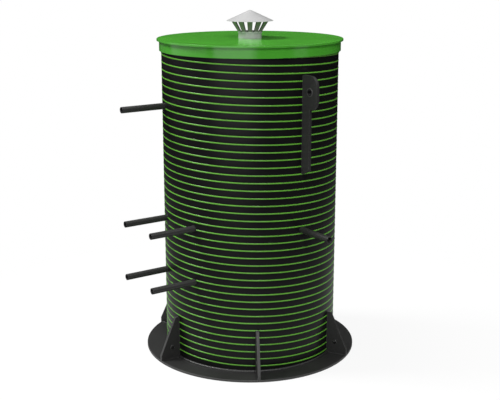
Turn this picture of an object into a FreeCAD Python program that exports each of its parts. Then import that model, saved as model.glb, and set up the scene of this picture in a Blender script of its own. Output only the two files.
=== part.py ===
import FreeCAD, Part
import Sketcher
import os
from FreeCAD import Placement, Rotation, Vector

# A well caisson: a tall round plastic chamber on a foot plate, closed by a vented lid.
# The origin is the middle of the foot plate's underside, +Z is up. The pipe stubs in pairs
# leave toward minus X, the single stub and one lifting lug stand toward minus Y.

document = FreeCAD.newDocument("WellCaisson")

# Driving sizes, in millimetres and degrees
SIZES = [
    # foot plate, round, wider than the chamber
    ("foot_width", 142.0),
    ("base_thickness", 15.0),
    # chamber wall, made in equal segments round the axis
    ("shell_radius", 600.0),
    ("shell_wall", 30.0),
    ("shell_top", 2163.0),
    ("segment_count", 8.0),
    ("foot_weld_leg", 14.0),
    # sleeve for the well casing, through the floor
    ("sleeve_radius", 88.0),
    ("sleeve_wall", 8.0),
    ("sleeve_height", 200.0),
    # gussets between wall and foot plate
    ("gusset_count", 6.0),
    ("gusset_thickness", 20.0),
    ("gusset_height", 292.0),
    ("gusset_top_width", 26.0),
    ("gusset_edge_height", 36.0),
    ("gusset_hole_radius", 10.0),
    ("gusset_hole_reach", 57.0),
    ("gusset_hole_rise", 82.0),
    # lifting lugs, a long strip with a wider ear at its top, set down from the wall's top
    ("lug_thickness", 20.0),
    ("lug_drop", 177.0),
    ("lug_ear_height", 218.0),
    ("lug_strip_length", 425.0),
    ("lug_foot_rise", 34.0),
    ("lug_strip_width", 71.0),
    ("lug_ear_width", 144.0),
    ("lug_upper_round", 72.0),
    ("lug_lower_round", 70.0),
    ("lug_hole_radius", 22.0),
    ("lug_hole_reach", 72.0),
    ("lug_hole_rise", 114.0),
    # pipe stubs through the wall
    ("pipe_radius", 21.2),
    ("pipe_wall", 3.7),
    ("pipe_outside", 295.0),
    ("pipe_side_outside", 284.0),
    ("pipe_inside", 75.0),
    ("pipe_offset_share", 0.29),
    ("pipe_low_level", 600.0),
    ("pipe_middle_level", 970.0),
    ("pipe_high_level", 1740.0),
    # lid, a flat disc over a skirt that fits round the chamber
    ("lid_overhang", 16.0),
    ("lid_thickness", 12.0),
    ("skirt_clearance", 5.0),
    ("skirt_wall", 7.0),
    ("skirt_depth", 67.0),
    # vent: neck, cage of flared slats, cap
    ("neck_radius", 78.0),
    ("neck_wall", 4.0),
    ("neck_height", 45.0),
    ("slat_count", 12.0),
    ("slat_turn", -4.7),
    ("slat_foot_width", 28.0),
    ("slat_head_width", 38.0),
    ("slat_thickness", 4.0),
    ("slat_lap", 12.0),
    ("slat_flare", 44.0),
    ("slat_head_gap", 0.2),
    ("cage_height", 69.0),
    ("cap_overhang", 34.0),
    ("cap_sheet", 4.0),
    ("cap_rise", 73.0),
]

sheet = document.addObject("Spreadsheet::Sheet", "Sizes")
for row, (alias, value) in enumerate(SIZES, start=1):
    sheet.set("A%d" % row, alias)
    sheet.set("B%d" % row, str(value))
    sheet.setAlias("B%d" % row, alias)

# Sizes that follow from the ones above
DERIVED = [
    ("base_radius", "=shell_radius + foot_width"),
    ("shell_height", "=shell_top - base_thickness"),
    ("shell_inner", "=shell_radius - shell_wall"),
    ("segment_angle", "=360 / segment_count"),
    ("weld_reach", "=shell_radius + foot_weld_leg"),
    ("weld_top", "=base_thickness + foot_weld_leg"),
    ("sleeve_inner", "=sleeve_radius - sleeve_wall"),
    ("gusset_top", "=base_thickness + gusset_height"),
    ("gusset_shoulder", "=base_thickness + gusset_edge_height"),
    ("gusset_top_reach", "=shell_radius + gusset_top_width"),
    ("gusset_hole_x", "=shell_radius + gusset_hole_reach"),
    ("gusset_hole_z", "=base_thickness + gusset_hole_rise"),
    ("lug_top_level", "=shell_top - lug_drop"),
    ("lug_ear_level", "=lug_top_level - lug_ear_height"),
    ("lug_foot_level", "=lug_ear_level - lug_strip_length"),
    ("lug_strip_level", "=lug_foot_level + lug_foot_rise"),
    ("lug_strip_reach", "=shell_radius + lug_strip_width"),
    ("lug_ear_reach", "=shell_radius + lug_ear_width"),
    ("lug_hole_x", "=shell_radius + lug_hole_reach"),
    ("lug_hole_level", "=lug_ear_level + lug_hole_rise"),
    ("pipe_bore", "=pipe_radius - pipe_wall"),
    ("pipe_start", "=shell_radius - pipe_inside"),
    ("pipe_offset", "=shell_radius * pipe_offset_share"),
    ("pipe_length", "=pipe_inside + pipe_outside"),
    ("pipe_side_length", "=pipe_inside + pipe_side_outside"),
    ("skirt_inner", "=shell_radius + skirt_clearance"),
    ("skirt_outer", "=skirt_inner + skirt_wall"),
    ("skirt_level", "=shell_top - skirt_depth"),
    ("lid_radius", "=skirt_outer + lid_overhang"),
    ("lid_top", "=shell_top + lid_thickness"),
    ("neck_inner", "=neck_radius - neck_wall"),
    ("neck_top", "=lid_top + neck_height"),
    ("cap_level", "=neck_top + cage_height"),
    ("cap_apex", "=cap_level + cap_rise"),
    ("cap_inside_apex", "=cap_apex - cap_sheet"),
    ("cap_radius", "=neck_radius + slat_flare + slat_thickness + cap_overhang"),
    ("cap_inside_radius", "=cap_radius * (1 - cap_sheet / cap_rise)"),
    ("cap_slope", "=cap_rise / cap_radius"),
    ("slat_slope", "=slat_flare / cage_height"),
    ("slat_lap_level", "=neck_top - slat_lap"),
    ("slat_foot_reach", "=neck_radius + slat_thickness"),
    ("slat_corner", "=slat_head_width^2 / (8 * (slat_foot_reach + slat_flare))"),
    ("slat_cap_drop", "=cap_slope * (slat_foot_reach + slat_corner)"),
    ("slat_rise", "=(cap_inside_apex - neck_top - slat_cap_drop) / (1 + cap_slope * slat_slope)"),
    ("slat_head_level", "=neck_top + slat_rise - slat_head_gap"),
    ("slat_head_radius", "=neck_radius + slat_slope * (slat_head_level - neck_top)"),
    ("slat_head_reach", "=slat_head_radius + slat_thickness"),
    ("slat_foot_right", "=slat_foot_width / 2"),
    ("slat_foot_left", "=-slat_foot_right"),
    ("slat_head_right", "=slat_head_width / 2"),
    ("slat_head_left", "=-slat_head_right"),
]
for row, (alias, formula) in enumerate(DERIVED, start=len(SIZES) + 1):
    sheet.set("A%d" % row, alias)
    sheet.set("B%d" % row, formula)
    sheet.setAlias("B%d" % row, alias)
document.recompute()

parts = []


def size(alias):
    return float(sheet.get(alias))


def keep(item, label):
    item.Label = label
    parts.append(item)


def bind(item, name, expression):
    item.setExpression(name, expression)


def cylinder(name, radius, height, spot=Placement()):
    item = document.addObject("Part::Cylinder", name)
    item.Placement = spot
    bind(item, "Radius", "Sizes." + radius)
    bind(item, "Height", "Sizes." + height)
    return item


def cut(name, base, tool):
    item = document.addObject("Part::Cut", name)
    item.Base = base
    item.Tool = tool
    return item


def tube(name, outer, inner, height, level=None):
    around = cylinder(name + "_outside", outer, height)
    through = cylinder(name + "_inside", inner, height)
    if level:
        bind(around, "Placement.Base.z", "Sizes." + level)
        bind(through, "Placement.Base.z", "Sizes." + level)
    return cut(name, around, through)


def sketch_on(body, name, role):
    sketch = body.newObject("Sketcher::SketchObject", name)
    planes = [plane for plane in body.Origin.OriginFeatures if plane.Role == role]
    sketch.AttachmentSupport = [(planes[0], "")]
    sketch.MapMode = "FlatFace"
    return sketch


def body_with_sketch(name, role):
    body = document.addObject("PartDesign::Body", name)
    return body, sketch_on(body, name + "_outline", role)


def pin_point(sketch, curve, corner, across, up):
    if across:
        rule = Sketcher.Constraint("DistanceX", -1, 1, curve, corner, size(across))
        number = sketch.addConstraint(rule)
        bind(sketch, "Constraints[%d]" % number, "Sizes." + across)
    else:
        sketch.addConstraint(Sketcher.Constraint("PointOnObject", curve, corner, -2))
    rule = Sketcher.Constraint("DistanceY", -1, 1, curve, corner, size(up))
    number = sketch.addConstraint(rule)
    bind(sketch, "Constraints[%d]" % number, "Sizes." + up)


def closed_outline(sketch, corners):
    points = [Vector(size(across) if across else 0, size(up), 0) for across, up in corners]
    count = len(points)
    for index in range(count):
        line = Part.LineSegment(points[index], points[(index + 1) % count])
        sketch.addGeometry(line, False)
    for index in range(count):
        following = (index + 1) % count
        sketch.addConstraint(Sketcher.Constraint("Coincident", index, 2, following, 1))
    for index, (across, up) in enumerate(corners):
        pin_point(sketch, index, 1, across, up)


def round_hole(sketch, across, up, radius):
    middle = Vector(size(across), size(up), 0)
    circle = sketch.addGeometry(Part.Circle(middle, Vector(0, 0, 1), size(radius)), False)
    pin_point(sketch, circle, 3, across, up)
    number = sketch.addConstraint(Sketcher.Constraint("Radius", circle, size(radius)))
    bind(sketch, "Constraints[%d]" % number, "Sizes." + radius)


def centred_circle(sketch, radius):
    circle = sketch.addGeometry(Part.Circle(Vector(), Vector(0, 0, 1), size(radius)), False)
    sketch.addConstraint(Sketcher.Constraint("Coincident", circle, 3, -1, 1))
    number = sketch.addConstraint(Sketcher.Constraint("Radius", circle, size(radius)))
    bind(sketch, "Constraints[%d]" % number, "Sizes." + radius)


def pad(body, sketch, length, both_ways=False):
    feature = body.newObject("PartDesign::Pad", body.Name + "_pad")
    feature.Profile = sketch
    bind(feature, "Length", "Sizes." + length)
    feature.Midplane = both_ways
    document.recompute()
    return feature


def turned_about_z(angle):
    return Placement(Vector(), Rotation(Vector(0, 0, 1), angle))


# Foot plate: a thick round plate with a hole for the sleeve
body, sketch = body_with_sketch("base_plate", "XY_Plane")
centred_circle(sketch, "base_radius")
centred_circle(sketch, "sleeve_radius")
pad(body, sketch, "base_thickness")
keep(body, "base_plate")

# Sleeve: a short pipe through the floor that the well casing comes up through
keep(tube("sleeve", "sleeve_radius", "sleeve_inner", "sleeve_height"), "casing_sleeve")

# Gussets: upright plates between the wall and the foot plate, each with a small hole
gusset_turns = [index * 360.0 / size("gusset_count") for index in range(int(size("gusset_count")))]
for index, turn in enumerate(gusset_turns, start=1):
    body, sketch = body_with_sketch("gusset_%d" % index, "XZ_Plane")
    corners = [
        ("shell_radius", "base_thickness"),
        ("base_radius", "base_thickness"),
        ("base_radius", "gusset_shoulder"),
        ("gusset_top_reach", "gusset_top"),
        ("shell_radius", "gusset_top"),
    ]
    closed_outline(sketch, corners)
    round_hole(sketch, "gusset_hole_x", "gusset_hole_z", "gusset_hole_radius")
    pad(body, sketch, "gusset_thickness", both_ways=True)
    body.Placement = turned_about_z(turn)
    keep(body, "gusset_%d" % index)

# Foot weld: a three-cornered bead round the wall's foot, stopped at each gusset
body, sketch = body_with_sketch("weld_ring", "XZ_Plane")
corners = [
    ("shell_radius", "base_thickness"),
    ("weld_reach", "base_thickness"),
    ("shell_radius", "weld_top"),
]
closed_outline(sketch, corners)
ring = body.newObject("PartDesign::Revolution", "weld_ring_turn")
ring.Profile = sketch
ring.ReferenceAxis = (sketch, ["V_Axis"])
ring.Angle = 360.0
document.recompute()
gaps = []
for index, turn in enumerate(gusset_turns, start=1):
    gap = document.addObject("Part::Box", "weld_gap_%d" % index)
    gap.Placement = turned_about_z(turn)
    bind(gap, "Length", "Sizes.base_radius")
    bind(gap, "Width", "Sizes.gusset_thickness")
    bind(gap, "Height", "Sizes.gusset_top")
    across = Vector(0, -size("gusset_thickness") / 2, 0)
    gap.Placement.Base = gap.Placement.Rotation.multVec(across)
    gaps.append(gap)
weld_gaps = document.addObject("Part::MultiFuse", "weld_gaps")
weld_gaps.Shapes = gaps
keep(cut("foot_weld_cut", body, weld_gaps), "foot_weld")

# Pipe stubs: short open pipes through the wall, two pairs and one high one toward minus X
# and a single one toward minus Y. Each has a hole of its own size in the wall.
toward_minus_x = Rotation(Vector(0, 1, 0), -90)
toward_minus_y = Rotation(Vector(1, 0, 0), 90)
STUBS = [
    ("pipe_stub_high", "x", 1, "pipe_high_level"),
    ("pipe_stub_middle_rear", "x", 1, "pipe_middle_level"),
    ("pipe_stub_middle_front", "x", -1, "pipe_middle_level"),
    ("pipe_stub_low_rear", "x", 1, "pipe_low_level"),
    ("pipe_stub_low_front", "x", -1, "pipe_low_level"),
    ("pipe_stub_side", "y", 0, "pipe_middle_level"),
]


def along_stub(name, radius, way, side, level):
    if way == "x":
        item = cylinder(name, radius, "pipe_length", Placement(Vector(), toward_minus_x))
        bind(item, "Placement.Base.x", "-Sizes.pipe_start")
        bind(item, "Placement.Base.y", "%d * Sizes.pipe_offset" % side)
    else:
        item = cylinder(name, radius, "pipe_side_length", Placement(Vector(), toward_minus_y))
        bind(item, "Placement.Base.y", "-Sizes.pipe_start")
    bind(item, "Placement.Base.z", "Sizes." + level)
    return item


wall_holes = {"x": [], "y": []}
for label, way, side, level in STUBS:
    outside = along_stub(label + "_outside", "pipe_radius", way, side, level)
    inside = along_stub(label + "_inside", "pipe_bore", way, side, level)
    keep(cut(label + "_tube", outside, inside), label)
    wall_holes[way].append(along_stub(label + "_hole", "pipe_radius", way, side, level))

# Chamber wall: a thick tube in equal segments, the first one centred on plus X, with holes
# for the stubs in the segments centred on minus X and minus Y
segment_count = int(size("segment_count"))
for index in range(segment_count):
    turn = (index - 0.5) * size("segment_angle")
    solids = []
    for name, radius in (("outside", "shell_radius"), ("inside", "shell_inner")):
        item = cylinder("wall_%d_%s" % (index + 1, name), radius, "shell_height")
        item.Placement = turned_about_z(turn)
        bind(item, "Angle", "Sizes.segment_angle")
        bind(item, "Placement.Base.z", "Sizes.base_thickness")
        solids.append(item)
    segment = cut("wall_%d_arc" % (index + 1), *solids)
    way = {0.5: "x", 0.75: "y"}.get(index / segment_count)
    if way:
        holes = wall_holes[way][0]
        if len(wall_holes[way]) > 1:
            holes = document.addObject("Part::MultiFuse", "wall_holes_" + way)
            holes.Shapes = wall_holes[way]
        segment = cut("wall_%d_pierced" % (index + 1), segment, holes)
    keep(segment, "wall_segment_%d" % (index + 1))

# Lifting lugs: a strip up the wall with a rounded ear and a shackle hole, on two sides
for index, turn in enumerate((-90.0, 90.0), start=1):
    body, sketch = body_with_sketch("lug_%d" % index, "XZ_Plane")
    corners = [
        ("shell_radius", "lug_foot_level"),
        ("lug_strip_reach", "lug_strip_level"),
        ("lug_strip_reach", "lug_ear_level"),
        ("lug_ear_reach", "lug_ear_level"),
        ("lug_ear_reach", "lug_top_level"),
        ("shell_radius", "lug_top_level"),
    ]
    closed_outline(sketch, corners)
    round_hole(sketch, "lug_hole_x", "lug_hole_level", "lug_hole_radius")
    plate = pad(body, sketch, "lug_thickness", both_ways=True)
    for name, level in (("lug_upper_round", "lug_top_level"), ("lug_lower_round", "lug_ear_level")):
        corner = Vector(size("lug_ear_reach"), 0, size(level))
        edges = [
            "Edge%d" % number
            for number, edge in enumerate(body.Shape.Edges, start=1)
            if (edge.CenterOfMass - corner).Length < 0.01
        ]
        rounding = body.newObject("PartDesign::Fillet", "%s_%d" % (name, index))
        rounding.Base = (plate, edges)
        bind(rounding, "Radius", "Sizes." + name)
        document.recompute()
        plate = rounding
    body.Placement = turned_about_z(turn)
    keep(body, "lifting_lug_%d" % index)

# Lid: a flat disc with a hole under the vent
body, sketch = body_with_sketch("lid", "XY_Plane")
centred_circle(sketch, "lid_radius")
centred_circle(sketch, "neck_inner")
pad(body, sketch, "lid_thickness")
bind(body, "Placement.Base.z", "Sizes.shell_top")
keep(body, "lid_plate")

# Skirt: a band under the disc that hangs round the top of the wall
keep(tube("skirt", "skirt_outer", "skirt_inner", "skirt_depth", "skirt_level"), "lid_skirt")

# Vent neck: a short pipe on the disc
keep(tube("neck", "neck_radius", "neck_inner", "neck_height", "lid_top"), "vent_neck")

# Vent slats: flat tapered strips that lap the neck and flare out to the cap. The first is a
# bent strip as wide as its head, trimmed at both sides, and the rest are turned from it
body, profile = body_with_sketch("slats", "XZ_Plane")
body.AllowCompound = True
corners = [
    ("neck_radius", "slat_lap_level"),
    ("slat_foot_reach", "slat_lap_level"),
    ("slat_foot_reach", "neck_top"),
    ("slat_head_reach", "slat_head_level"),
    ("slat_head_radius", "slat_head_level"),
    ("neck_radius", "neck_top"),
]
closed_outline(profile, corners)
strip = pad(body, profile, "slat_head_width", both_ways=True)
steps = [strip]
for side in ("left", "right"):
    trim = sketch_on(body, "slat_trim_" + side, "YZ_Plane")
    corners = [
        ("slat_foot_" + side, "slat_lap_level"),
        ("slat_head_" + side, "slat_lap_level"),
        ("slat_head_" + side, "slat_head_level"),
        ("slat_foot_" + side, "neck_top"),
    ]
    closed_outline(trim, corners)
    taper = body.newObject("PartDesign::Pocket", "slat_taper_" + side)
    taper.Profile = trim
    taper.Reversed = True
    bind(taper, "Length", "Sizes.cap_radius")
    document.recompute()
    steps.append(taper)
ring = body.newObject("PartDesign::PolarPattern", "slats_around_the_neck")
ring.Originals = steps
ring.Axis = (profile, ["V_Axis"])
ring.Angle = 360.0
bind(ring, "Occurrences", "Sizes.slat_count")
body.Tip = ring
body.Placement = turned_about_z(size("slat_turn"))
keep(body, "vent_slats")

# Vent cap: a cone of even sheet, open below, that rests on the slats' heads
body, sketch = body_with_sketch("cap", "XZ_Plane")
corners = [
    (None, "cap_apex"),
    ("cap_radius", "cap_level"),
    ("cap_inside_radius", "cap_level"),
    (None, "cap_inside_apex"),
]
closed_outline(sketch, corners)
cone = body.newObject("PartDesign::Revolution", "cap_turn")
cone.Profile = sketch
cone.ReferenceAxis = (sketch, ["V_Axis"])
cone.Angle = 360.0
keep(body, "vent_cap")

# Every object is sound before anything is written
document.recompute()
for item in document.Objects:
    faults = [state for state in item.State if state in ("Invalid", "Error")]
    if faults:
        raise RuntimeError("%s is %s" % (item.Name, ", ".join(faults)))
for item in parts:
    if item.Shape.isNull() or not item.Shape.isValid() or item.Shape.Volume <= 0:
        raise RuntimeError("%s has no sound shape" % item.Label)

os.makedirs("parts", exist_ok=True)
for item in parts:
    item.Shape.exportStep(os.path.join("parts", item.Label + ".step"))
    print("%s: %d solids, %.0f cm3" % (item.Label, len(item.Shape.Solids), item.Shape.Volume / 1000))
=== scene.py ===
import math

import bmesh
import bpy
from mathutils import Matrix, Vector


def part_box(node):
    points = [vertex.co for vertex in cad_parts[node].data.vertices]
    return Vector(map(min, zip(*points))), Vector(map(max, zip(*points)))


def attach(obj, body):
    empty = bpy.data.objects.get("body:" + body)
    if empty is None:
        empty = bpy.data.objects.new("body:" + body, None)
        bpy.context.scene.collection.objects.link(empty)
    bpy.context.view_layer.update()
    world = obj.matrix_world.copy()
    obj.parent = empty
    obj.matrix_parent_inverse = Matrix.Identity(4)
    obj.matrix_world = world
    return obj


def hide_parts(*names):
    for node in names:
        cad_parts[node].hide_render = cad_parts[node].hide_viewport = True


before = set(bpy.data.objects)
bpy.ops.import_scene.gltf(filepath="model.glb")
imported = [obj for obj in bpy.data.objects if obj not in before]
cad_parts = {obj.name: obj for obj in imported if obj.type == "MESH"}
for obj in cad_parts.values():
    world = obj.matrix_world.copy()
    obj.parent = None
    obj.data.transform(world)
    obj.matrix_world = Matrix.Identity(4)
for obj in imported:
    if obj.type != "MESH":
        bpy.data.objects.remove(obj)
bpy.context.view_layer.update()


# Foot plate. The real one is a disc cut from thick black polyethylene sheet, with a hole for
# the borehole's casing. Its sawn rim is eased all round, and the sheet keeps fine scuffs.


# A node of any tree: its settings first, then each socket's link or fixed value
def add_node(tree, kind, feeds=None, **settings):
    node = tree.nodes.new(kind)
    for name, value in settings.items():
        setattr(node, name, value)
    for socket, feed in (feeds or {}).items():
        if isinstance(feed, bpy.types.NodeSocket):
            tree.links.new(feed, node.inputs[socket])
        else:
            node.inputs[socket].default_value = feed
    return node


def maths(tree, operation, *values):
    feeds = dict(enumerate(values))
    return add_node(tree, "ShaderNodeMath", feeds, operation=operation).outputs[0]


def span(tree, value, low, high, to_low=0.0, to_high=1.0):
    feeds = {"Value": value, "From Min": low, "From Max": high, "To Min": to_low, "To Max": to_high}
    return add_node(tree, "ShaderNodeMapRange", feeds).outputs["Result"]


# Two colours mixed by a share: a Mix node's colours are its sockets 6 and 7, its result is 2
def blended(tree, share, first, second):
    feeds = {0: share, 6: first, 7: second}
    return add_node(tree, "ShaderNodeMix", feeds, data_type="RGBA").outputs[2]


# An empty shader node group with its named sockets, and its two end nodes
def shader_group(name, inputs, outputs):
    tree = bpy.data.node_groups.new(name, "ShaderNodeTree")
    for label, kind, value in inputs:
        socket = tree.interface.new_socket(label, in_out="INPUT", socket_type=kind)
        if value is not None:
            socket.default_value = value
    for label, kind in outputs:
        tree.interface.new_socket(label, in_out="OUTPUT", socket_type=kind)
    return tree, tree.nodes.new("NodeGroupInput"), tree.nodes.new("NodeGroupOutput")


# How many patches and how many dimples of the skin go into a metre
PATCH_SIZE = 3.0
PEEL_SIZE = 260.0


# Moulded and extruded plastic has a fine orange-peel skin, broad soft patches and a few scuffs
def make_skin_group():
    tree, given, made = shader_group(
        "plastic skin",
        [
            ("Vector", "NodeSocketVector", None),
            ("Patch Size", "NodeSocketFloat", PATCH_SIZE),
            ("Peel Size", "NodeSocketFloat", PEEL_SIZE),
            ("Scuff Amount", "NodeSocketFloat", 0.5),
        ],
        [
            ("Patches", "NodeSocketFloat"),
            ("Scuffs", "NodeSocketFloat"),
            ("Height", "NodeSocketFloat"),
        ],
    )
    place = given.outputs["Vector"]
    broad = add_node(
        tree,
        "ShaderNodeTexNoise",
        {"Vector": place, "Scale": given.outputs["Patch Size"], "Detail": 4.0, "Roughness": 0.6},
    )
    peel = add_node(
        tree,
        "ShaderNodeTexNoise",
        {"Vector": place, "Scale": given.outputs["Peel Size"], "Detail": 2.0},
    )
    turned_place = add_node(
        tree,
        "ShaderNodeMapping",
        {"Vector": place, "Rotation": (0.4, 0.3, 0.7), "Scale": (7.0, 60.0, 22.0)},
    ).outputs[0]
    lines = add_node(
        tree,
        "ShaderNodeTexNoise",
        {"Vector": turned_place, "Scale": 1.0, "Detail": 5.0, "Roughness": 0.7, "Distortion": 0.4},
    )
    thin = span(tree, lines.outputs["Fac"], 0.62, 0.72)
    scuffs = maths(tree, "MULTIPLY", thin, given.outputs["Scuff Amount"])
    dents = maths(tree, "MULTIPLY", scuffs, -0.6)
    tree.links.new(broad.outputs["Fac"], made.inputs["Patches"])
    tree.links.new(scuffs, made.inputs["Scuffs"])
    tree.links.new(maths(tree, "ADD", peel.outputs["Fac"], dents), made.inputs["Height"])
    return tree


# Rounded and handled edges: a mask that is 1 on an outer edge and fades over a few millimetres
def make_edge_group():
    tree, given, made = shader_group(
        "handled edges",
        [("Vector", "NodeSocketVector", None), ("Reach", "NodeSocketFloat", 0.004)],
        [("Mask", "NodeSocketFloat")],
    )
    eased = add_node(tree, "ShaderNodeBevel", {"Radius": given.outputs["Reach"]}, samples=4)
    plain = add_node(tree, "ShaderNodeNewGeometry")
    feeds = {0: eased.outputs[0], 1: plain.outputs["Normal"]}
    likeness = add_node(tree, "ShaderNodeVectorMath", feeds, operation="DOT_PRODUCT")
    mask = span(tree, likeness.outputs["Value"], 0.995, 0.86)
    feeds = {"Vector": given.outputs["Vector"], "Scale": 35.0, "Detail": 3.0}
    broken = add_node(tree, "ShaderNodeTexNoise", feeds)
    share = span(tree, broken.outputs["Fac"], 0.35, 0.65, 0.45, 1.0)
    tree.links.new(maths(tree, "MULTIPLY", mask, share), made.inputs["Mask"])
    return tree


skin_group = make_skin_group()
edge_group = make_edge_group()


# One plastic finish: its colour, how pale its scuffs and edges go, its roughness (gloss), the
# relief's depth (peel) and grain (peel_size), and how far edge wear reaches in
def plastic(name, colour, pale, gloss, peel=0.00006, patch=0.12, scuff=0.5, edge=0.5, reach=0.004,
            reflect=0.5, peel_size=PEEL_SIZE):
    material = bpy.data.materials.new(name)
    material.use_nodes = True
    tree = material.node_tree
    tree.nodes.clear()
    place = add_node(tree, "ShaderNodeTexCoord").outputs["Object"]
    feeds = {"Vector": place, "Peel Size": peel_size, "Scuff Amount": scuff}
    skin = add_node(tree, "ShaderNodeGroup", feeds, node_tree=skin_group)
    feeds = {"Vector": place, "Reach": reach}
    edges = add_node(tree, "ShaderNodeGroup", feeds, node_tree=edge_group)
    deep = tuple(c * (1 - patch) for c in colour) + (1.0,)
    light = tuple(c * (1 + patch) for c in colour) + (1.0,)
    pale = tuple(pale) + (1.0,)
    patches = span(tree, skin.outputs["Patches"], 0.35, 0.65)
    base = blended(tree, patches, deep, light)
    base = blended(tree, skin.outputs["Scuffs"], base, pale)
    worn = maths(tree, "MULTIPLY", edges.outputs["Mask"], edge)
    base = blended(tree, worn, base, pale)
    rough = maths(tree, "MULTIPLY_ADD", skin.outputs["Patches"], 0.14, gloss - 0.07)
    rough = maths(tree, "MULTIPLY_ADD", skin.outputs["Scuffs"], 0.12, rough)
    feeds = {"Strength": 1.0, "Distance": peel, "Height": skin.outputs["Height"]}
    relief = add_node(tree, "ShaderNodeBump", feeds)
    feeds = {"Base Color": base, "Roughness": rough, "Normal": relief.outputs[0],
             "Specular IOR Level": reflect}
    body = add_node(tree, "ShaderNodeBsdfPrincipled", feeds)
    add_node(tree, "ShaderNodeOutputMaterial", {"Surface": body.outputs[0]})
    return material


# A closed outline with its corners eased: each corner is (radius, height, ease)
def eased_outline(corners, steps=4):
    points = []
    count = len(corners)
    for index, (radius, height, ease) in enumerate(corners):
        here = Vector((radius, height))
        if ease <= 0:
            points.append(here)
            continue
        before = (Vector(corners[index - 1][:2]) - here).normalized()
        after = (Vector(corners[(index + 1) % count][:2]) - here).normalized()
        half = before.angle(after) / 2
        back = ease / math.tan(half)
        middle = here + (before + after).normalized() * (ease / math.sin(half))
        start = (here + before * back - middle).normalized()
        end = (here + after * back - middle).normalized()
        for step in range(steps + 1):
            points.append(middle + start.slerp(end, step / steps) * ease)
    return points


SMALL = 1e-7


# A piece turned on the chamber's axis from its outline
def turned(name, outline, segments):
    mesh = bpy.data.meshes.new(name)
    shape = bmesh.new()
    rings = []
    for step in range(segments):
        angle = math.tau * step / segments
        ring = [
            shape.verts.new((p.x * math.cos(angle), p.x * math.sin(angle), p.y)) for p in outline
        ]
        rings.append(ring)
    count = len(outline)
    for step in range(segments):
        here = rings[step]
        following = rings[(step + 1) % segments]
        for index in range(count):
            beside = (index + 1) % count
            if outline[index].x < SMALL and outline[beside].x < SMALL:
                continue
            shape.faces.new((here[index], here[beside], following[beside], following[index]))
    bmesh.ops.remove_doubles(shape, verts=shape.verts, dist=1e-6)
    bmesh.ops.dissolve_degenerate(shape, dist=SMALL, edges=shape.edges)
    bmesh.ops.recalc_face_normals(shape, faces=shape.faces)
    shape.to_mesh(mesh)
    shape.free()
    return shown(name, mesh)


def smoothed(mesh):
    for face in mesh.polygons:
        face.use_smooth = True
    return mesh


def shown(name, mesh):
    piece = bpy.data.objects.new(name, smoothed(mesh))
    bpy.context.scene.collection.objects.link(piece)
    return piece


# The modifiers' result becomes the piece's own plain mesh
def made_plain(piece):
    bpy.context.view_layer.update()
    graph = bpy.context.evaluated_depsgraph_get()
    mesh = bpy.data.meshes.new_from_object(piece.evaluated_get(graph), depsgraph=graph)
    piece.modifiers.clear()
    piece.data = mesh
    return piece


# Normals weighted by area, so that flat faces shade flat beside their eased corners
def flat_faces_kept(piece):
    piece.modifiers.new("flat faces kept", "WEIGHTED_NORMAL").keep_sharp = True
    return made_plain(piece)


# A finished piece: its material, its body, its slot (not used) and the CAD nodes that it stands for
def fitted(piece, material, body, slot, *nodes):
    if material:
        piece.data.materials.clear()
        piece.data.materials.append(material)
    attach(piece, body)
    if nodes:
        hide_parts(*nodes)
    return piece


black_sheet = plastic("black polyethylene sheet", (0.0265, 0.0265, 0.026), (0.07, 0.07, 0.068),
                      gloss=0.42, scuff=0.35, edge=0.25, reflect=0.25)
SAWN = {"gloss": 0.5, "scuff": 0.6, "peel": 0.0002, "reflect": 0.3, "peel_size": 120.0}
# the sawn finish is paler than the faces: partly the sawn edge's own colour, partly painted
# highlight on edges that catch the light
sawn_sheet_with_highlight = plastic("sawn edge of black sheet with painted highlight", (0.062, 0.062, 0.061), (0.09, 0.09, 0.088),
                     edge=0.1, **SAWN)


# Some faces of a piece take another finish: the paler, rougher sawn one, partly painted highlight,
# if none is named
def refinished(piece, chosen, finish=sawn_sheet_with_highlight):
    piece.data.materials.append(finish)
    for face in piece.data.polygons:
        if chosen(face):
            face.material_index = len(piece.data.materials) - 1


plate_low, plate_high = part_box("base_plate")
plate_radius = plate_high.x
plate_top = plate_high.z
sleeve_low, sleeve_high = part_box("casing_sleeve")
sleeve_radius = sleeve_high.x
PLATE_EASE = 0.0025
RIM_MARGIN = 0.0001
DISC_SEGMENTS = 192
plate_outline = eased_outline([
    (sleeve_radius, plate_low.z, 0.001),
    (plate_radius, plate_low.z, 0.0015),
    (plate_radius, plate_top, PLATE_EASE),
    (sleeve_radius, plate_top, 0.001),
])
foot_plate = flat_faces_kept(turned("foot_plate", plate_outline, DISC_SEGMENTS))
fitted(foot_plate, black_sheet, "caisson", "black_plastic", "base_plate")
# the rim takes the paler sawn finish, partly painted highlight along the lit rim
refinished(foot_plate, lambda face: face.center.xy.length > plate_radius - PLATE_EASE + RIM_MARGIN)


# Casing sleeve. A short length of black pressure pipe through the floor, which the borehole's
# casing comes up through. Its mouth is eased inside and out, and it is welded to the plate.

SLEEVE_WALL = 0.008
TUBE_SEGMENTS = 96
sleeve_inner = sleeve_radius - SLEEVE_WALL
sleeve_outline = eased_outline([
    (sleeve_inner, sleeve_low.z, 0.001),
    (sleeve_radius, sleeve_low.z, 0.001),
    (sleeve_radius, sleeve_high.z, 0.002),
    (sleeve_inner, sleeve_high.z, 0.003),
], steps=2)
black_pipe = plastic("black pressure pipe", (0.029, 0.029, 0.0285), (0.06, 0.06, 0.058),
                     gloss=0.34, scuff=0.45, edge=0.5, reach=0.002, reflect=0.45)
casing_pipe = flat_faces_kept(turned("casing_pipe", sleeve_outline, TUBE_SEGMENTS))
fitted(casing_pipe, black_pipe, "caisson", "black_plastic", "casing_sleeve")


# Wound wall. The real wall is pipe wound from hollow black polyethylene profile, two lengths
# side by side, with a narrow green bead run into each joint between them. It winds
# left-handed, is smooth inside, and both its ends are cut square.

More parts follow.
